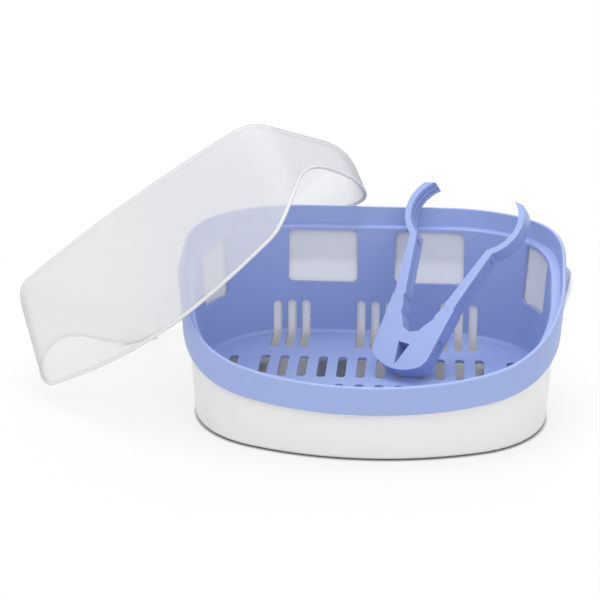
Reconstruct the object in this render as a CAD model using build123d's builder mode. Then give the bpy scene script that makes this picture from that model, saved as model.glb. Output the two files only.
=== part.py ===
from build123d import *
import math
import os

# Microwave bottle sterilizer: a white water tray, a blue bottle basket that hangs in it,
# a frosted hood that leans over one back corner, and a pair of tongs in the basket.
# Millimetres. +X is the width, +Y points to the back, +Z is up, and the origin is the
# middle of the foot.

# Plan of the tray: a straight back, round corners and a bowed front
foot_width = 270.0
foot_depth = 187.8
back_corner = 77.5
front_corner = 79.0
front_bow = 222.0
wall_lean = 0.06          # how far the walls spread for each millimetre of height

# Side profile: the same slanting curve for rim, ledge and lower edge of the band
rim_front = 58.7
rim_rise = 74.2
band_front = 36.9
band_rise = 51.2
rise_at_third = 0.44
rise_at_two_thirds = 0.94
front_slope = 0.26
profile_overhang = 10.0   # how far the curve runs past the foot at each end
profile_margin = 40.0     # how far the cutting blocks run past the curve

# Base
base_wall = 2.5
base_floor = 3.0
base_round = 3.0
base_inner_round = 3.0

# Basket
band_stand = 4.4          # how far the band stands out past the base's wall
band_wall = 2.5
rim_wall = 3.0
ledge_drop = 14.5
ledge_wall = 2.5
basket_gap = 0.7          # between the base's wall and the basket's inner wall
basket_wall = 2.5
basket_floor_top = 29.3
basket_floor_wall = 2.5
basket_inner_round = 3.0
seat_gap = 0.3
rim_outer_round = 1.3
rim_inner_round = 0.9
band_round = 0.8
ledge_round = 1.6

# Windows of the basket
window_width = 56.0
window_low = 71.5
window_high = 115.0
window_centre = 43.0
window_corner = 4.5
window_cut_front = 25.0   # how far the window cutter reaches before and behind the wall
window_cut_back = 9.0
corner_window_width = 35.0
corner_window_low = 68.0
corner_window_high = 118.0
corner_window_angle = 26.0
corner_cut_in = 12.0      # how far its cutter reaches inside and outside the wall's face
corner_cut_out = 1.3
corner_window_margin = 1.0  # between its slanting top edge and the ledge's underside

# Steam slots that run down the back wall and on into the floor
slot_width = 7.0
slot_pitch = 11.6
slot_group_pitch = 68.0
slot_top = 56.0
slot_floor_length = 34.0
slot_margin = 6.0         # from the slots' floor ends to the foot's back edge, with the length
slot_cut_back = 8.0

# Drain slots of the floor
drain_width = 7.0
drain_pitch = 15.3
drain_back_length = 43.0
drain_back_y = 34.5
drain_gap = 13.0
drain_back_count = 12
drain_front_count = 8
drain_front_length = 38.0
end_drain_x = 109.0
end_drain_length = 20.0
end_drain_back_y = 32.0

# Carrying wing on each end of the base
wing_low = 45.0
wing_high = 106.0
wing_reach = 18.5         # how far its edge stands out past the base's wall
wing_wall = 3.0
wing_start_angle = 2.0
wing_sweep = 40.0
wing_span = 62.0
wing_corner = 14.0
wing_lip_reach = 3.0      # the grip's edge turns up in a small lip
wing_lip_height = 9.0
wing_lip_edge = 1.0
wing_root_height = 5.0

# Tongs: one moulding, a hub with two arms that end in bottle jaws
tongs_thickness = 15.0
hub_bottom_radius = 34.0
hub_foot_half = 21.5
hub_corner = 3.0
hub_outline = ((24.4, 13.5), (25.6, 33.0), (26.4, 47.0), (27.6, 59.0))
hub_notch = ((18.2, 59.0), (14.9, 51.0), (14.2, 46.0), (9.2, 39.0), (7.0, 34.5), (0.0, 31.8))
hub_slot_width = 10.0
hub_slot_low = 3.0
hub_slot_high = 22.3
grip_width = 2.4
grip_depth = 1.2
grip_length = 20.0
arm_root_x = 22.5
arm_root_y = 62.0
arm_lean = 13.2
arm_length = 52.5
arm_root_width = 8.6
arm_end_width = 5.8
arm_gap = 0.4
arm_channel_depth = 1.3
arm_flange = 3.4
jaw_radius = 26.9
jaw_wall = 4.9
jaw_start = -59.0
jaw_sweep = 110.0
jaw_tip_slant = 14.0      # the tip is cut slanting, to a point on its inner side
jaw_groove_depth = 1.2
jaw_groove_width = 2.6

# Where the tongs stand: their foot on the basket's floor, leaning on the back rim
tongs_x = 17.1
tongs_before_back = 106.8
tongs_yaw = 28.0
tongs_slope = 46.65
tongs_twist = 3.7

# Hood: a frosted shell with a D-shaped rim cut on its own slanting curve
lid_width = 280.0
lid_back = 103.8          # rim to the back and to the front of the hood's own middle line
lid_front = 91.8
lid_back_corner = 87.4
lid_front_corner = 26.9
lid_front_bow = 900.0
lid_height = 166.1
lid_wall = 2.0
lid_rim_front = 50.3
lid_rim_rise = 97.0
lid_rim_pull_front = 1.55  # pulls of the rim's curve, as shares of its rise
lid_rim_pull_back = 0.33
lid_front_draft = 0.07
lid_back_draft = 0.01
lid_front_round = 6.0
lid_side_round = 16.0
lid_back_round = 28.0

# Where the hood leans: turned about its own axes, hooked over the back left corner
lid_x = -88.5
lid_before_back = 111.3
lid_lift = 8.15
lid_hook = 140.0          # from the hood's own origin to the end that hangs on the basket
lid_turn = (-39.2, -22.36, -34.89)

os.makedirs("parts", exist_ok=True)

lean_degrees = math.degrees(math.atan(wall_lean))
profile_front = -foot_depth / 2 - profile_overhang
profile_span = foot_depth + 2 * profile_overhang
block_height = rim_front + rim_rise + 20
inner_offset = -(base_wall + basket_gap)
tongs_y = foot_depth / 2 - tongs_before_back
lid_origin = (lid_x, foot_depth / 2 - lid_before_back, lid_lift)
corner_x = foot_width / 2 - back_corner
corner_y = foot_depth / 2 - back_corner


def plan(grow):
    """D-shaped plan of the tray, grown by an even margin."""
    half = foot_width / 2 + grow
    back = foot_depth / 2 + grow
    bow = front_bow + grow
    shoulder = -back + bow - math.sqrt(bow**2 - half**2)
    with BuildSketch() as face:
        with BuildLine():
            Polyline((half, shoulder), (half, back), (-half, back), (-half, shoulder))
            ThreePointArc((-half, shoulder), (0, -back), (half, shoulder))
        make_face()
        fillet(face.vertices().group_by(Axis.Y)[0], front_corner + grow)
        fillet(face.vertices().group_by(Axis.Y)[-1], back_corner + grow)
    return face.sketch


def leaning_block(grow, low, high, foot_round=0):
    """The plan as a solid between two heights, with the walls' lean."""
    with BuildPart() as block:
        with BuildSketch(Plane.XY.offset(low)):
            add(plan(grow + wall_lean * low))
        extrude(amount=high - low, taper=-lean_degrees)
        if foot_round:
            fillet(block.edges().group_by(Axis.Z)[0], foot_round)
    return block.part


def under_profile(front_height, rise):
    """All that lies under the slanting side profile, across the whole width."""
    shares = (0, rise_at_third, rise_at_two_thirds, 1)
    points = [
        (profile_front + profile_span * i / 3, front_height + rise * share)
        for i, share in enumerate(shares)
    ]
    slope = front_slope * rise / rim_rise
    low = -10.0
    front = profile_front - profile_margin
    back = -front
    with BuildPart() as block:
        with BuildSketch(Plane.YZ):
            with BuildLine():
                Spline(*points, tangents=[(1, slope), (1, 0)])
                Polyline(points[-1], (back, points[-1][1]), (back, low), (front, low))
                Polyline((front, low), (front, points[0][1]), points[0])
            make_face()
        extrude(amount=foot_width, both=True)
    return block.part


def edges_on(edges, wall):
    """The edges that lie on a wall."""
    return [edge for edge in edges if wall.distance_to(edge.position_at(0.5)) < 0.01]


# Base: the water tray. Its top edge lies under the basket's ledge and carries it.
base_edge_drop = ledge_drop + ledge_wall + seat_gap
base_outside = leaning_block(0, 0, block_height, base_round)
base_inside = leaning_block(-base_wall, base_floor, block_height + 1, base_inner_round)
base_limit = under_profile(rim_front - base_edge_drop, rim_rise)

wing_root = back_corner + wall_lean * wing_low - base_wall / 2
wing_edge = back_corner + wall_lean * wing_low + wing_reach
wing_lip = wing_edge - wing_lip_reach
wing_start = math.radians(wing_start_angle)
wing_middle = math.radians(wing_start_angle + wing_sweep / 2)
wing_outline = (
    (wing_root, wing_low),
    (wing_lip, wing_high - wing_lip_height),
    (wing_edge, wing_high - wing_lip_edge),
    (wing_edge - wing_lip_edge, wing_high),
    (wing_edge - wing_wall, wing_high),
    (wing_lip - wing_wall, wing_high - wing_lip_height + wing_lip_edge),
    (wing_root, wing_low + wing_root_height),
)

with BuildPart() as wing:
    wing_plane = Plane(
        origin=(corner_x, corner_y, 0),
        x_dir=(math.cos(wing_start), math.sin(wing_start), 0),
        z_dir=(math.sin(wing_start), -math.cos(wing_start), 0),
    )
    with BuildSketch(wing_plane):
        with BuildLine():
            Polyline(*wing_outline, close=True)
        make_face()
    revolve(axis=Axis((corner_x, corner_y, 0), (0, 0, 1)), revolution_arc=wing_sweep)
    side_plane = Plane(
        origin=(corner_x, corner_y, wing_low),
        x_dir=(-math.sin(wing_middle), math.cos(wing_middle), 0),
        z_dir=(math.cos(wing_middle), math.sin(wing_middle), 0),
    )
    with BuildSketch(side_plane):
        RectangleRounded(wing_span, 2 * (wing_high - wing_low), wing_corner)
    extrude(amount=2 * wing_edge, mode=Mode.INTERSECT)

with BuildPart() as base:
    add(base_outside)
    add(base_limit, mode=Mode.INTERSECT)
    add(base_inside, mode=Mode.SUBTRACT)
    add(wing.part)
    mirror(wing.part, about=Plane.YZ)

base.part.label = "base"
export_step(base.part, "parts/base.step")


# Basket: band, rim, ledge, inner wall and floor in one moulding
band_outside = leaning_block(band_stand, 0, block_height)
rim_limit = under_profile(rim_front, rim_rise)
band_limit = under_profile(band_front, band_rise)
ledge_limit = under_profile(rim_front - ledge_drop, rim_rise)
ledge_under_limit = under_profile(rim_front - ledge_drop - ledge_wall, rim_rise)
basket_under = basket_floor_top - basket_floor_wall

recess_block = leaning_block(band_stand - rim_wall, 0, block_height + 1)
recess_wall = recess_block.shell()
outer_wall = band_outside.shell()

with BuildPart() as lid_recess:
    add(recess_block)
    add(ledge_limit, mode=Mode.SUBTRACT)

with BuildPart() as below_band:
    add(leaning_block(band_stand + 5, -5, block_height))
    add(band_limit, mode=Mode.INTERSECT)
    add(leaning_block(inner_offset, basket_under, block_height + 1), mode=Mode.SUBTRACT)

with BuildPart() as base_channel:
    add(leaning_block(band_stand - band_wall, 0, block_height))
    add(ledge_under_limit, mode=Mode.INTERSECT)
    add(leaning_block(inner_offset, -5, block_height + 1), mode=Mode.SUBTRACT)

basket_inside = leaning_block(
    inner_offset - basket_wall, basket_floor_top, block_height + 1, basket_inner_round
)
inner_wall = basket_inside.shell()
wall_middle = foot_depth / 2 + inner_offset - basket_wall / 2

# Cutter of the corner windows: square to the leaning wall, its top under the ledge
window_limit = under_profile(
    rim_front - ledge_drop - ledge_wall - corner_window_margin, rim_rise
)
window_middle = (corner_window_low + corner_window_high) / 2
wall_radius = back_corner + inner_offset + wall_lean * window_middle

with BuildPart() as corner_cutter:
    for side in (1, -1):
        angle = corner_window_angle if side == 1 else 180 - corner_window_angle
        heading = Vector(math.cos(math.radians(angle)), math.sin(math.radians(angle)), 0)
        window_plane = Plane(
            origin=Vector(side * corner_x, corner_y, window_middle) + heading * wall_radius,
            x_dir=Vector(0, 0, 1).cross(heading),
            z_dir=heading - Vector(0, 0, wall_lean),
        )
        with BuildSketch(window_plane.offset(corner_cut_out)):
            RectangleRounded(
                corner_window_width, corner_window_high - corner_window_low, window_corner
            )
        extrude(amount=-(corner_cut_out + corner_cut_in))
    add(window_limit, mode=Mode.INTERSECT)

with BuildPart() as basket:
    add(band_outside)
    add(rim_limit, mode=Mode.INTERSECT)
    rim_edges = edges_on(edges_on(basket.edges(), outer_wall), rim_limit.shell())
    fillet(rim_edges, rim_outer_round)
    add(lid_recess.part, mode=Mode.SUBTRACT)
    rim_edges = edges_on(edges_on(basket.edges(), recess_wall), rim_limit.shell())
    fillet(rim_edges, rim_inner_round)
    add(base_channel.part, mode=Mode.SUBTRACT)
    add(below_band.part, mode=Mode.SUBTRACT)
    band_edges = edges_on(edges_on(basket.edges(), outer_wall), band_limit.shell())
    fillet(band_edges, band_round)
    add(basket_inside, mode=Mode.SUBTRACT)
    ledge_edges = edges_on(edges_on(basket.edges(), inner_wall), ledge_limit.shell())
    fillet(ledge_edges, ledge_round)
    # windows in the back wall
    with BuildSketch(Plane.XZ.offset(window_cut_front - wall_middle)):
        with Locations(
            (window_centre, (window_low + window_high) / 2),
            (-window_centre, (window_low + window_high) / 2),
        ):
            RectangleRounded(window_width, window_high - window_low, window_corner)
    extrude(amount=-(window_cut_front + window_cut_back), mode=Mode.SUBTRACT)
    # windows in the back corners
    add(corner_cutter.part, mode=Mode.SUBTRACT)
    # steam slots down the back wall, on into the floor
    slot_y = foot_depth / 2 - slot_floor_length - slot_margin
    for group in (-1, 0, 1):
        for place in (-1, 0, 1):
            x = group * slot_group_pitch + place * slot_pitch
            with BuildSketch(Plane.XZ.offset(-slot_y)):
                with Locations((x, slot_top - slot_width / 2)):
                    Circle(slot_width / 2)
                with Locations((x, (basket_under - 1 + slot_top - slot_width / 2) / 2)):
                    Rectangle(slot_width, slot_top - slot_width / 2 - basket_under + 1)
            extrude(amount=-(slot_floor_length + slot_margin + slot_cut_back), mode=Mode.SUBTRACT)
    # drain slots
    with BuildSketch(Plane.XY.offset(basket_under - 1)):
        row_back = drain_back_y
        for count, length in (
            (drain_back_count, drain_back_length),
            (drain_front_count, drain_front_length),
        ):
            with Locations((0, row_back - length / 2)):
                with GridLocations(drain_pitch, 1, count, 1):
                    SlotOverall(length, drain_width, rotation=90)
            row_back -= length + drain_gap
        with Locations(
            (end_drain_x, end_drain_back_y - end_drain_length / 2),
            (-end_drain_x, end_drain_back_y - end_drain_length / 2),
        ):
            SlotOverall(end_drain_length, drain_width, rotation=90)
    extrude(amount=basket_floor_wall + 2, mode=Mode.SUBTRACT)

basket.part.label = "basket"
export_step(basket.part, "parts/basket.step")


# Tongs: drawn in their own plane, x across, y from the foot to the jaws
yaw = math.radians(tongs_yaw)
slope = math.radians(tongs_slope)
twist = math.radians(tongs_twist)
level = Vector(math.cos(yaw), -math.sin(yaw), 0)
uphill = Vector(
    math.sin(yaw) * math.cos(slope), math.cos(yaw) * math.cos(slope), math.sin(slope)
)
tongs_across = level * math.cos(twist) - uphill * math.sin(twist)
tongs_z = (
    basket_floor_top
    + seat_gap
    + tongs_thickness * math.cos(slope)
    + hub_bottom_radius * math.sin(slope) * (1 - math.cos(twist))
)
tongs_plane = Plane(
    origin=(tongs_x, tongs_y, tongs_z), x_dir=tongs_across, z_dir=level.cross(uphill)
)

foot_side_y = hub_bottom_radius - math.sqrt(hub_bottom_radius**2 - hub_foot_half**2)
knuckle = arm_root_width / 2 + arm_gap
arm_tilt = math.radians(arm_lean)
right_side = ((hub_foot_half, foot_side_y), *hub_outline, *hub_notch)
left_side = tuple((-x, y) for x, y in reversed(right_side))

with BuildPart() as tongs_hub:
    with BuildSketch(tongs_plane) as hub_face:
        with BuildLine():
            ThreePointArc((-hub_foot_half, foot_side_y), (0, 0), (hub_foot_half, foot_side_y))
            Polyline(*right_side, *left_side[1:])
        make_face()
        fillet(hub_face.vertices().group_by(Axis.Y)[0], hub_corner)
        with BuildLine():
            Polyline(
                (-hub_slot_width / 2, hub_slot_high),
                (hub_slot_width / 2, hub_slot_high),
                (0, hub_slot_low),
                close=True,
            )
        make_face(mode=Mode.SUBTRACT)
        with Locations((arm_root_x, arm_root_y), (-arm_root_x, arm_root_y)):
            Circle(knuckle, mode=Mode.SUBTRACT)
    extrude(amount=-tongs_thickness)
    # grip grooves along both hips
    hip_x, hip_y = hub_outline[0]
    for start in (tongs_thickness / 2 - 1.5 * grip_width, tongs_thickness / 2 + 0.5 * grip_width):
        with BuildSketch(tongs_plane.offset(-start)):
            with Locations((hip_x + 1, hip_y + grip_length / 2), (-hip_x - 1, hip_y + grip_length / 2)):
                Rectangle(2 * grip_depth, grip_length)
        extrude(amount=-grip_width, mode=Mode.SUBTRACT)

tongs_hub.part.label = "tongs_hub"
export_step(tongs_hub.part, "parts/tongs_hub.step")


def arm_point(along, across, side):
    """A point beside an arm's centre line, measured from its root; across is outwards."""
    return (
        side * (arm_root_x + along * math.sin(arm_tilt) + across * math.cos(arm_tilt)),
        arm_root_y + along * math.cos(arm_tilt) - across * math.sin(arm_tilt),
    )


def jaw_ring(side, inner_radius, outer_radius, tip_slant=0):
    """Ring sector of a jaw; its middle line starts at the arm's end."""
    middle = jaw_radius + jaw_wall / 2
    turn = math.radians(jaw_start)
    end_x, end_y = arm_point(arm_length - 1, 0, 1)
    centre = (side * (end_x - middle * math.cos(turn)), end_y - middle * math.sin(turn))
    start = jaw_start if side == 1 else 180 - jaw_start
    with BuildSketch() as face:
        with BuildLine():
            outer = CenterArc(centre, outer_radius, start, side * (jaw_sweep - tip_slant))
            inner = CenterArc(centre, inner_radius, start, side * jaw_sweep)
            Line(outer @ 0, inner @ 0)
            Line(outer @ 1, inner @ 1)
        make_face()
    return face.sketch


def arm_face(side):
    """Outline of one arm with its jaw."""
    root = arm_root_width / 2
    tip = arm_end_width / 2
    with BuildSketch() as face:
        with Locations((side * arm_root_x, arm_root_y)):
            Circle(root)
        with BuildLine():
            Polyline(
                arm_point(0, -root, side),
                arm_point(0, root, side),
                arm_point(arm_length, tip, side),
                arm_point(arm_length, -tip, side),
                close=True,
            )
        make_face()
        add(jaw_ring(side, jaw_radius, jaw_radius + jaw_wall, jaw_tip_slant))
    return face.sketch


def arm_channels(side):
    """Strips along both edges of an arm, where its section is cut to an I."""
    root = arm_root_width / 2
    tip = arm_end_width / 2
    with BuildSketch() as face:
        for edge in (1, -1):
            with BuildLine():
                Polyline(
                    arm_point(5, edge * (root - arm_channel_depth), side),
                    arm_point(5, edge * (root + 1), side),
                    arm_point(arm_length - 5, edge * (tip + 1), side),
                    arm_point(arm_length - 5, edge * (tip - arm_channel_depth), side),
                    close=True,
                )
            make_face()
    return face.sketch


jaw_groove_starts = (
    tongs_thickness / 2 - 1.5 * jaw_groove_width,
    tongs_thickness / 2 + 0.5 * jaw_groove_width,
)

with BuildPart() as tongs_arm_right:
    with BuildSketch(tongs_plane):
        add(arm_face(1))
    extrude(amount=-tongs_thickness)
    with BuildSketch(tongs_plane.offset(-arm_flange)):
        add(arm_channels(1))
    extrude(amount=2 * arm_flange - tongs_thickness, mode=Mode.SUBTRACT)
    for start in jaw_groove_starts:
        with BuildSketch(tongs_plane.offset(-start)):
            add(jaw_ring(1, jaw_radius - 1, jaw_radius + jaw_groove_depth))
        extrude(amount=-jaw_groove_width, mode=Mode.SUBTRACT)

tongs_arm_right.part.label = "tongs_arm_right"
export_step(tongs_arm_right.part, "parts/tongs_arm_right.step")

with BuildPart() as tongs_arm_left:
    with BuildSketch(tongs_plane):
        add(arm_face(-1))
    extrude(amount=-tongs_thickness)
    with BuildSketch(tongs_plane.offset(-arm_flange)):
        add(arm_channels(-1))
    extrude(amount=2 * arm_flange - tongs_thickness, mode=Mode.SUBTRACT)
    for start in jaw_groove_starts:
        with BuildSketch(tongs_plane.offset(-start)):
            add(jaw_ring(-1, jaw_radius - 1, jaw_radius + jaw_groove_depth))
        extrude(amount=-jaw_groove_width, mode=Mode.SUBTRACT)

tongs_arm_left.part.label = "tongs_arm_left"
export_step(tongs_arm_left.part, "parts/tongs_arm_left.step")


# Hood: level sections of the shell in its own frame, then the slanting rim
def rounded_in(radius, height, top):
    """How far a quarter round of this radius has drawn in at this height."""
    rise = min(max(height - (top - radius), 0), radius)
    return radius - math.sqrt(radius**2 - rise**2)


def hood_section(height, top, shrink):
    """Plan of the hood at one height of its own frame."""
    above_front = max(height - lid_rim_front, 0)
    above_back = max(height - lid_rim_front - lid_rim_rise, 0)
    front_in = shrink + lid_front_draft * above_front
    front_in += rounded_in(lid_front_round, height, top)
    back_in = shrink + lid_back_draft * above_back
    back_in += rounded_in(lid_back_round, height, top)
    side_in = shrink + lid_back_draft * above_front
    side_in += rounded_in(lid_side_round, height, top)
    half = lid_width / 2 - side_in
    back = lid_back - back_in
    front = -(lid_front - front_in)
    bow = lid_front_bow - front_in
    shoulder = front + bow - math.sqrt(bow**2 - half**2)
    back_radius = lid_back_corner - (side_in + back_in) / 2
    front_radius = lid_front_corner - (side_in + front_in) / 2
    with BuildSketch() as face:
        with BuildLine():
            Polyline((half, shoulder), (half, back), (-half, back), (-half, shoulder))
            ThreePointArc((-half, shoulder), (0, front), (half, shoulder))
        make_face()
        fillet(face.vertices().group_by(Axis.Y)[0], front_radius)
        fillet(face.vertices().group_by(Axis.Y)[-1], back_radius)
    return face.sketch


def hood_solid(low, top, shrink):
    """The hood as a full block: leaning walls, then the round up to the flat top."""
    shoulder = top - lid_back_round
    angles = (0, 18, 36, 54, 68, 80, 90)
    heights = [shoulder + lid_back_round * math.sin(math.radians(a)) for a in angles]
    with BuildPart() as block:
        for height in (low, shoulder):
            with BuildSketch(Plane.XY.offset(height)):
                add(hood_section(height, top, shrink))
        loft()
        for height in heights:
            with BuildSketch(Plane.XY.offset(height)):
                add(hood_section(height, top, shrink))
        loft()
    return block.part


lid_third = (lid_front + lid_back) / 3
lid_points = [
    (-lid_front, lid_rim_front),
    (-lid_front + lid_third, lid_rim_front + lid_rim_rise * lid_rim_pull_front),
    (lid_back - lid_third, lid_rim_front + lid_rim_rise * lid_rim_pull_back),
    (lid_back, lid_rim_front + lid_rim_rise),
]
with BuildPart() as under_lid:
    with BuildSketch(Plane.YZ):
        with BuildLine():
            Bezier(*lid_points)
            Polyline(
                lid_points[-1],
                (lid_back + 20, lid_points[-1][1]),
                (lid_back + 20, -20),
                (-lid_front - 20, -20),
                (-lid_front - 20, lid_rim_front),
                lid_points[0],
            )
        make_face()
    extrude(amount=lid_width, both=True)

with BuildPart() as lid_shell:
    add(hood_solid(20, lid_height, 0))
    add(hood_solid(19, lid_height - lid_wall, lid_wall), mode=Mode.SUBTRACT)
    add(under_lid.part, mode=Mode.SUBTRACT)

with BuildPart() as lid:
    with Locations(Location(lid_origin, lid_turn) * Location((lid_hook - lid_width / 2, 0, 0))):
        add(lid_shell.part)

lid.part.label = "lid"
export_step(lid.part, "parts/lid.step")
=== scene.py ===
import math

import bpy
import numpy as np
from bpy.props import FloatProperty, FloatVectorProperty, PointerProperty
from mathutils import Matrix, Vector


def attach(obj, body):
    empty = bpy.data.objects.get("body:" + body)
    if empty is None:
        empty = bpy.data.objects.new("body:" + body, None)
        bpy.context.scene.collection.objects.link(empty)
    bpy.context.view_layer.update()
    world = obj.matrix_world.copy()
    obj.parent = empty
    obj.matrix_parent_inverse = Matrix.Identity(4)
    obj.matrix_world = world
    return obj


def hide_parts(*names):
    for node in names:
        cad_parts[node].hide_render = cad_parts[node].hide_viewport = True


bl_info = {
    "name": "Bottle sterilizer",
    "version": (1, 0, 0),
    "blender": (4, 5, 0),
    "location": "3D View > Sidebar > Sterilizer",
    "description": "Microwave bottle sterilizer with its basket, leaning hood and tongs",
    "category": "Object",
}

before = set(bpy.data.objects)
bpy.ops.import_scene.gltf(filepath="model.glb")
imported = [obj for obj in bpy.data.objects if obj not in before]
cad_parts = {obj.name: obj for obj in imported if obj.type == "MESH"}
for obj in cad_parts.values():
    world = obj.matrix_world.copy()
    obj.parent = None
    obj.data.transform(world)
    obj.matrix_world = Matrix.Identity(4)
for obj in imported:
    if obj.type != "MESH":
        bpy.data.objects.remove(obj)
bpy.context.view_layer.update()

SHARP_ANGLE = math.radians(35)

# Lamps: name, place, and width of the square area that shines
LAMPS = (
    ("key", (-0.7, -0.9, 1.5), 1.3),
    ("fill", (0.6, -1.3, 0.6), 1.2),
    ("top", (0.0, 0.1, 1.5), 1.0),
    ("back", (0.0, 1.2, 0.7), 1.2),
)
LAMP_TARGET = (-0.03, 0.0, 0.06)


# Settings

class HoodSettings(bpy.types.PropertyGroup):
    """The frosted hood, in its own upright frame, and where it leans."""

    width: FloatProperty(
        name="Width", description="Width across the rim", default=0.280, unit="LENGTH",
    )
    back: FloatProperty(
        name="Back", description="Rim behind the middle line", default=0.1038, unit="LENGTH",
    )
    front: FloatProperty(
        name="Front", description="Rim in front of the middle line", default=0.0918,
        unit="LENGTH",
    )
    back_corner: FloatProperty(
        name="Back corner", description="Plan radius", default=0.0874, unit="LENGTH",
    )
    front_corner: FloatProperty(
        name="Front corner", description="Plan radius", default=0.0269, unit="LENGTH",
    )
    front_bow: FloatProperty(
        name="Front bow", description="Radius of the front", default=0.9, unit="LENGTH",
    )
    height: FloatProperty(
        name="Height", description="Flat top above the foot plane", default=0.1661,
        unit="LENGTH",
    )
    wall: FloatProperty(
        name="Wall", description="Wall thickness", default=0.002, unit="LENGTH",
    )
    low: FloatProperty(
        name="Draft plane", description="Height where the draft starts", default=0.020,
        unit="LENGTH",
    )
    rim_front: FloatProperty(
        name="Rim in front", description="Lowest rim height", default=0.0503, unit="LENGTH",
    )
    rim_rise: FloatProperty(
        name="Rim rise", description="Rise of the rim to the back", default=0.097,
        unit="LENGTH",
    )
    pull_front: FloatProperty(
        name="Front pull", description="Pull of the rim's curve", default=1.55,
    )
    pull_back: FloatProperty(
        name="Back pull", description="Pull of the rim's curve", default=0.33,
    )
    front_draft: FloatProperty(
        name="Front draft", description="Lean of the front wall", default=0.07,
    )
    back_draft: FloatProperty(
        name="Back draft", description="Lean of the other walls", default=0.01,
    )
    front_round: FloatProperty(
        name="Front round", description="Round of the top edge", default=0.006, unit="LENGTH",
    )
    side_round: FloatProperty(
        name="Side round", description="Round of the top edge", default=0.016, unit="LENGTH",
    )
    back_round: FloatProperty(
        name="Back round", description="Round of the top edge", default=0.028, unit="LENGTH",
    )
    rim_bead: FloatProperty(
        name="Rim bead", description="Radius of the rim's rolled edge", default=0.0014,
        unit="LENGTH",
    )
    origin: FloatVectorProperty(
        name="Origin", description="Place of the hood's own origin",
        default=(-0.0885, -0.0174, 0.00815), subtype="TRANSLATION", unit="LENGTH",
    )
    turn: FloatVectorProperty(
        name="Turn", description="Turns about the hood's own X, Y and Z",
        default=tuple(math.radians(a) for a in (-39.2, -22.36, -34.89)), subtype="EULER",
    )


class TongsSettings(bpy.types.PropertyGroup):
    """The tongs' arms and jaws, drawn in the tongs' own plane, and where the tongs stand."""

    thickness: FloatProperty(
        name="Thickness", description="Front to back", default=0.015, unit="LENGTH",
    )
    root_x: FloatProperty(
        name="Root across", description="Arm root from the middle", default=0.0225,
        unit="LENGTH",
    )
    root_y: FloatProperty(
        name="Root along", description="Arm root from the foot", default=0.062, unit="LENGTH",
    )
    root_radius: FloatProperty(
        name="Root radius", description="Round end in the hub", default=0.00466,
        unit="LENGTH",
    )
    lean: FloatProperty(
        name="Arm lean", description="Outward lean of an arm", default=math.radians(13.2),
        unit="ROTATION",
    )
    length: FloatProperty(
        name="Arm length", description="Root to jaw", default=0.0525, unit="LENGTH",
    )
    root_width: FloatProperty(
        name="Root width", description="Arm at its root", default=0.0086, unit="LENGTH",
    )
    end_width: FloatProperty(
        name="End width", description="Arm at its jaw", default=0.0058, unit="LENGTH",
    )
    flange: FloatProperty(
        name="Flange", description="Edge of the arm's section", default=0.0034,
        unit="LENGTH",
    )
    channel: FloatProperty(
        name="Channel", description="Depth of the arm's channels", default=0.0013,
        unit="LENGTH",
    )
    jaw_radius: FloatProperty(
        name="Jaw radius", description="Inside of the jaw", default=0.0269, unit="LENGTH",
    )
    jaw_wall: FloatProperty(
        name="Jaw wall", description="Thickness of the jaw", default=0.0049, unit="LENGTH",
    )
    jaw_start: FloatProperty(
        name="Jaw start", description="Angle of its start", default=math.radians(-59),
        unit="ROTATION",
    )
    jaw_sweep: FloatProperty(
        name="Jaw sweep", description="Angle that it spans", default=math.radians(110),
        unit="ROTATION",
    )
    tip_slant: FloatProperty(
        name="Tip slant", description="Slant of its tip", default=math.radians(14),
        unit="ROTATION",
    )
    groove: FloatProperty(
        name="Groove", description="Width of the grip grooves", default=0.0026,
        unit="LENGTH",
    )
    groove_depth: FloatProperty(
        name="Groove depth", description="Of the grip grooves", default=0.0012,
        unit="LENGTH",
    )
    edge_round: FloatProperty(
        name="Edge round", description="Softening of the arms' edges", default=0.00025,
        unit="LENGTH",
    )
    yaw: FloatProperty(
        name="Yaw", description="Turn about the upright", default=math.radians(28),
        unit="ROTATION",
    )
    slope: FloatProperty(
        name="Slope", description="Above the level", default=math.radians(46.65),
        unit="ROTATION",
    )
    twist: FloatProperty(
        name="Twist", description="In the tongs' own plane", default=math.radians(3.7),
        unit="ROTATION",
    )
    origin: FloatVectorProperty(
        name="Origin", description="Middle of the foot's front edge",
        default=(0.0171, -0.0129, 0.0399483), subtype="TRANSLATION", unit="LENGTH",
    )


class ColourSettings(bpy.types.PropertyGroup):
    """Colours of the plastics and the stage."""

    blue: FloatVectorProperty(
        name="Blue", description="Moulded blue plastic", default=(0.322, 0.406, 0.715),
        subtype="COLOR", size=3, min=0, max=1,
    )
    white: FloatVectorProperty(
        name="White", description="Water tray", default=(0.888, 0.88, 0.87),
        subtype="COLOR", size=3, min=0, max=1,
    )
    frosted: FloatVectorProperty(
        name="Frosted", description="Hood", default=(0.915, 0.911, 0.904),
        subtype="COLOR", size=3, min=0, max=1,
    )
    # Whiter than the hood's frosted colour: the rolled edge's own colour, lightened as painted
    # highlight.
    rim: FloatVectorProperty(
        name="Rim", description="Rolled edge of the hood", default=(0.95, 0.95, 0.95),
        subtype="COLOR", size=3, min=0, max=1,
    )
    floor: FloatVectorProperty(
        name="Floor", description="Floor and backdrop", default=(0.78, 0.78, 0.78),
        subtype="COLOR", size=3, min=0, max=1,
    )


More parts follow.
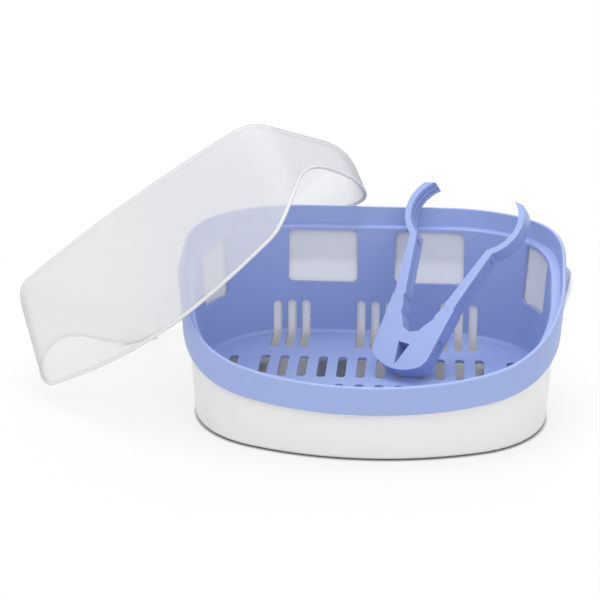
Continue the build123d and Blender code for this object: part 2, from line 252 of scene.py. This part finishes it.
class StageSettings(bpy.types.PropertyGroup):
    """Camera and lamps."""

    target: FloatVectorProperty(
        name="Target", description="Point that the camera looks at",
        default=(-0.0539, -0.00626, 0.09079), subtype="TRANSLATION", unit="LENGTH",
    )
    azimuth: FloatProperty(
        name="Azimuth", description="Around the object", default=math.radians(4.63),
        unit="ROTATION",
    )
    elevation: FloatProperty(
        name="Elevation", description="Above the floor", default=math.radians(19.78),
        unit="ROTATION",
    )
    roll: FloatProperty(
        name="Roll", description="About the line of sight", default=math.radians(-0.13),
        unit="ROTATION",
    )
    distance: FloatProperty(
        name="Distance", description="From the target", default=1.32357, unit="LENGTH",
    )
    lens: FloatProperty(
        name="Lens", description="Focal length in millimetres", default=104.58,
    )
    key_power: FloatProperty(name="Key lamp", description="Power in watts", default=5.5)
    fill_power: FloatProperty(name="Fill lamp", description="Power in watts", default=3.3)
    top_power: FloatProperty(name="Top lamp", description="Power in watts", default=9.0)
    back_power: FloatProperty(name="Back lamp", description="Power in watts", default=4.0)
    ambient: FloatProperty(name="Ambient", description="Light from all round", default=0.72)


# Shapes

def mesh_piece(name, points, faces, smooth=True):
    """An object at the origin, from an array of points x 3 and each face's point numbers."""
    mesh = bpy.data.meshes.new(name)
    mesh.from_pydata(points.tolist(), [], faces)
    mesh.polygons.foreach_set("use_smooth", np.full(len(mesh.polygons), smooth))
    piece = bpy.data.objects.new(name, mesh)
    bpy.context.scene.collection.objects.link(piece)
    return piece


def numbered(rings):
    """Point numbers of a stack of rings, rings x points."""
    return np.arange(rings.shape[0] * rings.shape[1]).reshape(rings.shape[:2])


def d_outline(half, back, front, back_radius, front_radius, bow, count=28):
    """Closed D outline, as an array of x, y.

    Back edge, back corner arc, side edge, front corner arc and the bowed front, each with
    the same share of points at every size, so that outlines can be stacked into a surface.
    Arc points are centre + radius (cos a, sin a); the front corner is tangent to the bow.
    """
    centre_y = front + bow - math.sqrt((bow - front_radius) ** 2 - (half - front_radius) ** 2)
    touch = math.atan2(centre_y - (front + bow), half - front_radius)
    straight = np.linspace(0, 1, count, endpoint=False)
    quarter = np.linspace(math.pi / 2, 0, count, endpoint=False)
    corner = np.linspace(0, touch, count, endpoint=False)
    sweep = np.linspace(touch, -math.pi / 2, count)
    x = np.concatenate([
        straight * (half - back_radius),
        half - back_radius + back_radius * np.cos(quarter),
        np.full(count, half),
        half - front_radius + front_radius * np.cos(corner),
        bow * np.cos(sweep),
    ])
    y = np.concatenate([
        np.full(count, back),
        back - back_radius + back_radius * np.sin(quarter),
        back - back_radius + straight * (centre_y - back + back_radius),
        centre_y + front_radius * np.sin(corner),
        front + bow + bow * np.sin(sweep),
    ])
    right = np.stack([x, y], 1)
    left = right[-2:0:-1] * (-1, 1)
    return np.vstack([right, left])


def dome_piece(name, rings):
    """A stack of closed rings, with quads between, closed by a fan to the last one's middle."""
    index = numbered(rings)
    ahead = np.roll(index, -1, 1)
    quads = np.stack([index[:-1], index[1:], ahead[1:], ahead[:-1]], -1).reshape(-1, 4)
    points = np.vstack([rings.reshape(-1, 3), rings[-1].mean(0)])
    middle = np.full(index.shape[1], len(points) - 1)
    fan = np.stack([index[-1], middle, ahead[-1]], -1)
    return mesh_piece(name, points, quads.tolist() + fan.tolist())


def rounded_in(radius, height, top):
    """How far a quarter round has drawn in at a height: r - sqrt(r^2 - rise^2)."""
    rise = np.clip(height - (top - radius), 0, radius)
    return radius - np.sqrt(radius**2 - rise**2)


def hood_plan(s, height):
    """Plan of the hood at one height, each side drawn in by its draft and its top round."""
    above_front = max(height - s.rim_front, 0)
    above_back = max(height - s.rim_front - s.rim_rise, 0)
    front_in = s.front_draft * above_front + rounded_in(s.front_round, height, s.height)
    back_in = s.back_draft * above_back + rounded_in(s.back_round, height, s.height)
    side_in = s.back_draft * above_front + rounded_in(s.side_round, height, s.height)
    return d_outline(
        s.width / 2 - side_in,
        s.back - back_in,
        -(s.front - front_in),
        s.back_corner - (side_in + back_in) / 2,
        s.front_corner - (side_in + front_in) / 2,
        s.front_bow - front_in,
    )


def hood_rim_height(s, y):
    """Height of the rim over depth: a cubic curve with two pulled middle points."""
    t = np.clip((y + s.front) / (s.front + s.back), 0, 1)
    share = 3 * t * (1 - t) ** 2 * s.pull_front + 3 * t**2 * (1 - t) * s.pull_back + t**3
    return s.rim_front + s.rim_rise * share


def hood_stack(s, wall_rows=120, round_rows=60):
    """Plans of the hood at many heights, bottom to top, rows x points x 3.

    The wall runs in straight lines from the draft plane to the shoulder. Above it the
    heights follow a quarter round, so that the stack is even along the surface.
    """
    shoulder = s.height - s.back_round
    foot = hood_plan(s, s.low)
    head = hood_plan(s, shoulder)
    share = np.linspace(0, 1, wall_rows, endpoint=False)[:, None, None]
    wall = foot + (head - foot) * share
    wall_heights = s.low + (shoulder - s.low) * share[:, 0, 0]
    quarter = np.linspace(0, math.pi / 2, round_rows)
    round_heights = shoulder + s.back_round * np.sin(quarter)
    rounds = np.stack([hood_plan(s, height) for height in round_heights])
    plans = np.concatenate([wall, rounds])
    heights = np.concatenate([wall_heights, round_heights])[:, None, None]
    return np.concatenate([plans, np.broadcast_to(heights, (*plans.shape[:2], 1))], -1)


def between_rings(stack, place):
    """Points of a stack of rings at fractional ring numbers, one number for each point."""
    low = np.clip(np.floor(place).astype(int), 0, len(stack) - 2)
    column = np.arange(stack.shape[1])
    part = (place - low)[..., None]
    return stack[low, column] * (1 - part) + stack[low + 1, column] * part


def hood_rings(s, rows=44, cap=(0.1, 0.28, 0.5, 0.75), halvings=22):
    """Rings of the hood's outside, from its slanting rim up to the flat top.

    Each column of the stack starts where it crosses the rim's curve, found by halving, and
    runs in even steps to the top. Rings on the top shrink evenly towards its middle.
    """
    stack = hood_stack(s)
    low = np.zeros(stack.shape[1])
    high = np.full(stack.shape[1], len(stack) - 1.0)
    for _ in range(halvings):
        middle = (low + high) / 2
        point = between_rings(stack, middle)
        under = point[:, 2] < hood_rim_height(s, point[:, 1])
        low = np.where(under, middle, low)
        high = np.where(under, high, middle)
    share = np.linspace(0, 1, rows)[:, None]
    rings = between_rings(stack, low + (len(stack) - 1 - low) * share)
    last = rings[-1]
    inner = [last + (last.mean(0) - last) * step for step in cap]
    return np.concatenate([rings, np.stack(inner)])


def hood_rim_path(s, edge):
    """The middle of the rim's wall: the outer edge, moved level by half the wall inwards."""
    inwards = (edge.mean(0) - edge) * (1, 1, 0)
    inwards /= np.linalg.norm(inwards, axis=1, keepdims=True)
    return edge + inwards * s.wall / 2


def lean(s, points):
    """Points of the hood's own frame, turned about its X, Y and Z and moved to its place."""
    turn = np.eye(3)
    for angle, axis in zip(s.turn, "XYZ"):
        turn = turn @ np.array(Matrix.Rotation(angle, 3, axis))
    return points @ turn.T + np.array(s.origin)


def tube_piece(name, path, radius, sides=12, aside=(0.31, 0.12, 0.94)):
    """A closed round tube along a closed path.

    At each path point a circle is drawn in the plane across the path: point + radius
    (cos a first + sin a second). aside is a direction that the path never takes.
    """
    heading = np.roll(path, -1, 0) - np.roll(path, 1, 0)
    heading /= np.linalg.norm(heading, axis=1, keepdims=True)
    first = np.cross(heading, aside)
    first /= np.linalg.norm(first, axis=1, keepdims=True)
    second = np.cross(heading, first)
    angle = np.linspace(0, 2 * math.pi, sides, endpoint=False)[:, None]
    turned = np.cos(angle) * first[:, None] + np.sin(angle) * second[:, None]
    rings = path[:, None] + radius * turned
    index = numbered(rings)
    ahead = np.roll(index, -1, 0)
    quads = np.stack([index, np.roll(index, -1, 1), np.roll(ahead, -1, 1), ahead], -1)
    return mesh_piece(name, rings.reshape(-1, 3), quads.reshape(-1, 4).tolist())


def on_tongs(s, points):
    """Points x across, y along and depth behind the front face, placed in the scene.

    Origin + x across + y upward - depth normal, where normal is level x uphill.
    """
    level = np.array((math.cos(s.yaw), -math.sin(s.yaw), 0))
    reach = math.cos(s.slope)
    uphill = np.array((math.sin(s.yaw) * reach, math.cos(s.yaw) * reach, math.sin(s.slope)))
    across = level * math.cos(s.twist) - uphill * math.sin(s.twist)
    normal = np.cross(level, uphill)
    axes = np.stack([across, np.cross(normal, across), -normal])
    return points @ axes + np.array(s.origin)


def arm_rings(s, inset=0.005, step=0.0002, extra_ring=0.004):
    """Rings of the right arm: an I section carried along its leaning centre line.

    Station by station, width runs straight from root to end, after a half circle at the
    root. Between the flanges both edges step in by the channel's depth, within one step,
    but for an inset at each end. An extra ring lies between the round end and the channels.
    """
    turn = np.linspace(-math.pi / 2, 0, 10)[1:-1]
    root = s.root_radius
    stop = s.length - inset
    straight = (0.0, extra_ring, inset, inset + step, stop - step, stop, s.length)
    station = np.concatenate([root * np.sin(turn), straight])
    taper = (s.root_width + (s.end_width - s.root_width) * station / s.length) / 2
    half = np.where(station < 0, np.sqrt(np.maximum(root**2 - station**2, 0)), taper)
    half = np.where(station == 0, root, half)
    cut = np.where((station > inset) & (station < stop), s.channel, 0.0)
    back_flange = s.thickness - s.flange
    edge = np.array((0, s.flange, s.flange, back_flange, back_flange, s.thickness))
    depth = np.concatenate([edge, edge[::-1]])
    recess = np.array((0, 0, 1, 1, 0, 0) * 2)
    side = np.repeat((1.0, -1.0), 6)
    out = side * (half[:, None] - recess * cut[:, None])
    x = s.root_x + station[:, None] * math.sin(s.lean) + out * math.cos(s.lean)
    y = s.root_y + station[:, None] * math.cos(s.lean) - out * math.sin(s.lean)
    return np.stack([x, y, np.broadcast_to(depth, x.shape)], -1)


def jaw_rings(s, count=40, overlap=0.001, skin=0.00002):
    """Rings of the right jaw: a grooved section carried round an arc.

    Each point is centre + radius (cos a, sin a). The outer side's angles end sooner than
    the inner side's, which slants the tip. The inner side has two grip grooves. The jaw
    starts inside the arm's end, and lies a skin's depth within its front and back face.
    """
    middle = s.jaw_radius + s.jaw_wall / 2
    reach = s.length - overlap
    end = np.array((s.root_x + reach * math.sin(s.lean), s.root_y + reach * math.cos(s.lean)))
    centre = end - middle * np.array((math.cos(s.jaw_start), math.sin(s.jaw_start)))
    groove_sides = np.array((1.5, 1.5, 0.5, 0.5, -0.5, -0.5, -1.5, -1.5))
    cuts = s.thickness / 2 + s.groove * groove_sides
    depth = np.concatenate([(skin, s.thickness - skin, s.thickness - skin), cuts, (skin,)])
    recess = np.array((0, 0, 0, 0, 1, 1, 0, 0, 1, 1, 0, 0)) * s.groove_depth
    outer = np.arange(len(depth)) < 2
    share = np.linspace(0, 1, count)[:, None]
    angle = s.jaw_start + share * np.where(outer, s.jaw_sweep - s.tip_slant, s.jaw_sweep)
    radius = np.where(outer, s.jaw_radius + s.jaw_wall, s.jaw_radius + recess)
    x = centre[0] + radius * np.cos(angle)
    y = centre[1] + radius * np.sin(angle)
    return np.stack([x, y, np.broadcast_to(depth, x.shape)], -1)


def bars_piece(name, bars):
    """One object of several bars, each a stack of rings with a flat face on both ends."""
    points, faces, base = [], [], 0
    for rings in bars:
        index = base + numbered(rings)
        ahead = np.roll(index, -1, 1)
        quads = np.stack([index[:-1], ahead[:-1], ahead[1:], index[1:]], -1)
        faces += quads.reshape(-1, 4).tolist()
        faces += [index[0, ::-1].tolist(), index[-1].tolist()]
        points.append(rings.reshape(-1, 3))
        base += index.size
    piece = mesh_piece(name, np.concatenate(points), faces)
    piece.data.set_sharp_from_angle(angle=SHARP_ANGLE)
    return piece


# Materials

def new_material(name):
    """A material, its nodes and links, and its Principled shader."""
    material = bpy.data.materials.new(name)
    material.use_nodes = True
    nodes = material.node_tree.nodes
    return material, nodes, material.node_tree.links, nodes["Principled BSDF"]


def set_sockets(node, values):
    """Sets the values of a node's sockets by their names or numbers."""
    for socket, value in values.items():
        node.inputs[socket].default_value = value


def new_node(nodes, kind, sockets=None, **settings):
    """A shader node with its settings and its sockets' values."""
    node = nodes.new("ShaderNode" + kind)
    for name, value in settings.items():
        setattr(node, name, value)
    set_sockets(node, sockets or {})
    return node


def noise(nodes, links, scale, detail):
    """Noise on the object's own coordinates."""
    place = new_node(nodes, "TexCoord")
    cloud = new_node(nodes, "TexNoise", {"Scale": scale, "Detail": detail})
    links.new(place.outputs["Object"], cloud.inputs["Vector"])
    return cloud.outputs["Fac"]


def colour_between(nodes, links, share, first, second):
    """A colour between two, by a share from another node."""
    tint = new_node(nodes, "Mix", data_type="RGBA")
    set_sockets(tint, {"A": (*first, 1), "B": (*second, 1)})
    links.new(share, tint.inputs["Factor"])
    return tint.outputs["Result"]


def value_between(nodes, links, share, first, second, start=0.0, end=1.0, easing="LINEAR"):
    """A number that runs from first to second while another node's runs from start to end."""
    spread = new_node(nodes, "MapRange", interpolation_type=easing)
    set_sockets(spread, {
        "From Min": start, "From Max": end, "To Min": first, "To Max": second,
    })
    links.new(share, spread.inputs["Value"])
    return spread.outputs["Result"]


def mixed_shader(nodes, links, share, first, second):
    """Two shaders mixed by a share, which is a number or another node's output."""
    mix = new_node(nodes, "MixShader")
    if isinstance(share, float):
        mix.inputs["Fac"].default_value = share
    else:
        links.new(share, mix.inputs["Fac"])
    links.new(first, mix.inputs[1])
    links.new(second, mix.inputs[2])
    return mix.outputs["Shader"]


def seen_rays(nodes, links):
    """The rays that show the background: to the camera, off gloss and through glass."""
    path = new_node(nodes, "LightPath")
    value = path.outputs["Is Camera Ray"]
    for other in ("Is Glossy Ray", "Is Transmission Ray"):
        either = new_node(nodes, "Math", operation="MAXIMUM")
        links.new(value, either.inputs[0])
        links.new(path.outputs[other], either.inputs[1])
        value = either.outputs["Value"]
    return value


def moulded_plastic(name, colour, roughness, passing=0.0, unevenness=0.04, spread=0.05):
    """Moulded plastic: a soft sheen with fine grain, a faint unevenness of the colour, and
    a share of the light that wanders through the thin wall."""
    material, nodes, links, shader = new_material(name)
    cloud = noise(nodes, links, scale=14, detail=3)
    dark = [c * (1 - unevenness) for c in colour]
    light = [min(c * (1 + unevenness), 1) for c in colour]
    tint = colour_between(nodes, links, cloud, dark, light)
    links.new(tint, shader.inputs["Base Color"])
    bump = new_node(nodes, "Bump", {"Strength": 0.06, "Distance": 0.0002})
    links.new(noise(nodes, links, scale=900, detail=2), bump.inputs["Height"])
    links.new(bump.outputs["Normal"], shader.inputs["Normal"])
    rough = value_between(nodes, links, cloud, roughness - spread, roughness + spread)
    links.new(rough, shader.inputs["Roughness"])
    set_sockets(shader, {
        "IOR": 1.49,
        "Subsurface Weight": passing,
        "Subsurface Radius": (1.0, 1.0, 1.0),
        "Subsurface Scale": 0.0045,
    })
    return material


def frosted_plastic(
    name, colour, thin, dense, roughness, passing,
    sharpness=4.0, edge_density=0.6, painted_edge_shade=0.33,
):
    """Frosted clear plastic: a veil from thin to dense, of which a share passes the light on
    to its other side. By facing to the power of sharpness it turns denser, by up to
    edge_density, and darker, down to a share of painted_edge_shade of its colour: painted
    shade along its edges."""
    material, nodes, links, shader = new_material(name)
    set_sockets(shader, {"Roughness": roughness, "IOR": 1.45, "Specular IOR Level": 0.3})
    facing = new_node(nodes, "LayerWeight", {"Blend": 0.5})
    grazing = new_node(nodes, "Math", {1: sharpness}, operation="POWER")
    links.new(facing.outputs["Facing"], grazing.inputs[0])
    # Painted shade: edge on, the veil's colour falls to a share of itself.
    edge = [c * painted_edge_shade for c in colour]
    tint = colour_between(nodes, links, grazing.outputs["Value"], colour, edge)
    links.new(tint, shader.inputs["Base Color"])
    through = new_node(nodes, "BsdfTranslucent")
    links.new(tint, through.inputs["Color"])
    veil = mixed_shader(
        nodes, links, passing, shader.outputs["BSDF"], through.outputs["BSDF"],
    )
    cloud = noise(nodes, links, scale=7, detail=3)
    density = new_node(
        nodes, "Math", {1: edge_density}, operation="MULTIPLY_ADD", use_clamp=True,
    )
    links.new(grazing.outputs["Value"], density.inputs[0])
    links.new(value_between(nodes, links, cloud, thin, dense), density.inputs[2])
    clear = new_node(nodes, "BsdfTransparent")
    surface = mixed_shader(
        nodes, links, density.outputs["Value"], clear.outputs["BSDF"], veil,
    )
    links.new(surface, nodes["Material Output"].inputs["Surface"])
    return material


def floor_white(
    colour, near=0.16, far=0.5, near_share=0.68,
    painted_shadow_reach=0.003, painted_shadow_power=1.3, painted_shadow_colour=(0.1, 0.1, 0.1),
):
    """Matt white floor that keeps the object's shadow, most of all close to the object.

    What shows of it is its lit surface and plain white, of which the white's share grows
    from near to far. Both darken by ambient occlusion in a thin line of painted shadow where
    something stands on it.
    """
    material, nodes, links, shader = new_material("floor_white")
    set_sockets(shader, {"Roughness": 0.7})
    place = new_node(nodes, "TexCoord")
    reach = new_node(nodes, "VectorMath", operation="LENGTH")
    links.new(place.outputs["Object"], reach.inputs[0])
    share = value_between(
        nodes, links, reach.outputs["Value"], near_share, 1.0, near, far, "SMOOTHSTEP",
    )
    # Painted contact shadow: ambient occlusion darkens the floor's colour and its white where
    # something stands on it.
    shade = new_node(nodes, "AmbientOcclusion", {"Distance": painted_shadow_reach}, samples=8)
    painted_contact_shadow = new_node(nodes, "Math", {1: painted_shadow_power}, operation="POWER")
    links.new(shade.outputs["AO"], painted_contact_shadow.inputs[0])
    glow = new_node(nodes, "Emission")
    links.new(painted_contact_shadow.outputs["Value"], glow.inputs["Strength"])
    ground_with_painted_shadow = colour_between(nodes, links, painted_contact_shadow.outputs["Value"], painted_shadow_colour, colour)
    links.new(ground_with_painted_shadow, shader.inputs["Base Color"])
    seen = new_node(nodes, "Math", operation="MULTIPLY")
    links.new(seen_rays(nodes, links), seen.inputs[0])
    links.new(share, seen.inputs[1])
    surface = mixed_shader(
        nodes, links, seen.outputs["Value"], shader.outputs["BSDF"], glow.outputs["Emission"],
    )
    links.new(surface, nodes["Material Output"].inputs["Surface"])
    return material


def dress(node, material):
    """Gives a node of the frame its material."""
    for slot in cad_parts[node].material_slots:
        slot.material = material


# Operators

class STERILIZER_OT_tray(bpy.types.Operator):
    """White water tray"""

    bl_idname = "sterilizer.tray"
    bl_label = "Water tray"

    def execute(self, context):
        colours = context.scene.sterilizer_colours
        white = moulded_plastic("tray_white", colours.white, roughness=0.36, passing=0.7)
        dress("base", white)
        return {"FINISHED"}


class STERILIZER_OT_basket(bpy.types.Operator):
    """Blue basket"""

    bl_idname = "sterilizer.basket"
    bl_label = "Basket"

    def execute(self, context):
        colours = context.scene.sterilizer_colours
        dress("basket", moulded_plastic("basket_blue", colours.blue, roughness=0.4))
        return {"FINISHED"}


class STERILIZER_OT_tongs(bpy.types.Operator):
    """Blue tongs"""

    bl_idname = "sterilizer.tongs"
    bl_label = "Tongs"

    def execute(self, context):
        colours = context.scene.sterilizer_colours
        s = context.scene.sterilizer_tongs
        blue = moulded_plastic("tongs_blue", colours.blue, roughness=0.38)
        dress("tongs_hub", blue)
        for side, mirror in (("right", 1), ("left", -1)):
            bars = [rings * (mirror, 1, 1) for rings in (arm_rings(s), jaw_rings(s))]
            bars = [on_tongs(s, rings[:, ::mirror]) for rings in bars]
            arm = bars_piece(f"tongs_arm_{side}_smooth", bars)
            edge = arm.modifiers.new("edge", "BEVEL")
            edge.width = s.edge_round
            edge.segments = 2
            edge.limit_method = "ANGLE"
            edge.angle_limit = SHARP_ANGLE
            arm.data.materials.append(blue)
            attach(arm, f"arm_{side}")
            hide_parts(f"tongs_arm_{side}")
        return {"FINISHED"}


class STERILIZER_OT_hood(bpy.types.Operator):
    """Frosted hood"""

    bl_idname = "sterilizer.hood"
    bl_label = "Hood"

    def execute(self, context):
        s = context.scene.sterilizer_hood
        colours = context.scene.sterilizer_colours
        rings = hood_rings(s)
        outside = dome_piece("hood", lean(s, rings))
        wall = outside.modifiers.new("wall", "SOLIDIFY")
        wall.thickness = s.wall
        wall.offset = -1
        wall.use_even_offset = True
        outside.data.materials.append(frosted_plastic(
            "hood_frosted", colours.frosted, thin=0.38, dense=0.48, roughness=0.45, passing=0.5,
        ))
        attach(outside, "hood")
        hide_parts("lid")
        path = lean(s, hood_rim_path(s, rings[0]))
        bead = tube_piece("hood_rim", path, s.rim_bead)
        # The rolled edge is real; its whiter, nearly opaque veil is painted highlight along the
        # rim.
        bead.data.materials.append(frosted_plastic(
            "hood_rim_frosted", colours.rim, thin=0.86, dense=0.92, roughness=0.18, passing=0.25,
        ))
        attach(bead, "hood")
        return {"FINISHED"}


class STERILIZER_OT_stage(bpy.types.Operator):
    """Floor, world, lamps and camera"""

    bl_idname = "sterilizer.stage"
    bl_label = "Stage"

    def execute(self, context):
        scene = context.scene
        s = scene.sterilizer_stage
        self.floor(scene)
        self.world(scene, s)
        for name, place, width in LAMPS:
            self.lamp(name, place, width, getattr(s, f"{name}_power"))
        self.camera(scene, s)
        scene.view_settings.view_transform = "Standard"
        return {"FINISHED"}

    def floor(self, scene, half=40.0, drop=0.0004):
        """A square from -half to half each way, a little under the foot."""
        signs = np.array([(-1, -1), (1, -1), (1, 1), (-1, 1)])
        corners = np.column_stack([signs * half, np.full(4, -drop)])
        floor = mesh_piece("floor", corners, [(0, 1, 2, 3)], smooth=False)
        floor.data.materials.append(floor_white(scene.sterilizer_colours.floor))

    def world(self, scene, s):
        """Even light from all round, which itself shows as plain white."""
        world = bpy.data.worlds.new("studio")
        world.use_nodes = True
        nodes = world.node_tree.nodes
        links = world.node_tree.links
        light = nodes["Background"]
        set_sockets(light, {"Color": (1, 1, 1, 1), "Strength": s.ambient})
        seen = new_node(nodes, "Background", {"Color": (1, 1, 1, 1), "Strength": 1.0})
        surface = mixed_shader(
            nodes, links, seen_rays(nodes, links),
            light.outputs["Background"], seen.outputs["Background"],
        )
        links.new(surface, nodes["World Output"].inputs["Surface"])
        scene.world = world

    def lamp(self, name, place, width, power):
        """A square area lamp, turned towards the object."""
        data = bpy.data.lights.new(name, "AREA")
        data.energy = power
        data.size = width
        lamp = bpy.data.objects.new(name, data)
        lamp.location = place
        aim = Vector(LAMP_TARGET) - Vector(place)
        lamp.rotation_euler = aim.to_track_quat("-Z", "Y").to_euler()
        bpy.context.scene.collection.objects.link(lamp)

    def camera(self, scene, s):
        """Camera at target + distance back, turned by roll about back.

        back is (sin azimuth cos elevation, -cos azimuth cos elevation, sin elevation).
        """
        back = Vector((
            math.sin(s.azimuth) * math.cos(s.elevation),
            -math.cos(s.azimuth) * math.cos(s.elevation),
            math.sin(s.elevation),
        ))
        right = Vector((math.cos(s.azimuth), math.sin(s.azimuth), 0))
        up = back.cross(right)
        side = math.cos(s.roll) * right + math.sin(s.roll) * up
        above = math.cos(s.roll) * up - math.sin(s.roll) * right
        data = bpy.data.cameras.new("camera")
        data.sensor_width = 36
        data.lens = s.lens
        camera = bpy.data.objects.new("camera", data)
        place = Matrix((side, above, back)).transposed().to_4x4()
        place.translation = Vector(s.target) + back * s.distance
        camera.matrix_world = place
        scene.collection.objects.link(camera)
        scene.camera = camera


class STERILIZER_PT_panel(bpy.types.Panel):
    """Lists the pieces of the sterilizer"""

    bl_idname = "STERILIZER_PT_panel"
    bl_label = "Bottle sterilizer"
    bl_space_type = "VIEW_3D"
    bl_region_type = "UI"
    bl_category = "Sterilizer"

    def draw(self, context):
        for operator in OPERATORS:
            self.layout.operator(operator.bl_idname)


SETTINGS = {
    "sterilizer_hood": HoodSettings,
    "sterilizer_tongs": TongsSettings,
    "sterilizer_colours": ColourSettings,
    "sterilizer_stage": StageSettings,
}
OPERATORS = (
    STERILIZER_OT_tray,
    STERILIZER_OT_basket,
    STERILIZER_OT_tongs,
    STERILIZER_OT_hood,
    STERILIZER_OT_stage,
)


def register():
    for settings in SETTINGS.values():
        bpy.utils.register_class(settings)
    for name, settings in SETTINGS.items():
        setattr(bpy.types.Scene, name, PointerProperty(type=settings))
    for cls in (*OPERATORS, STERILIZER_PT_panel):
        bpy.utils.register_class(cls)


def unregister():
    for cls in reversed((*OPERATORS, STERILIZER_PT_panel)):
        bpy.utils.unregister_class(cls)
    for name in SETTINGS:
        delattr(bpy.types.Scene, name)
    for settings in reversed(SETTINGS.values()):
        bpy.utils.unregister_class(settings)


def main():
    register()
    bpy.ops.sterilizer.tray()
    bpy.ops.sterilizer.basket()
    bpy.ops.sterilizer.tongs()
    bpy.ops.sterilizer.hood()
    bpy.ops.sterilizer.stage()


if __name__ == "__main__":
    main()
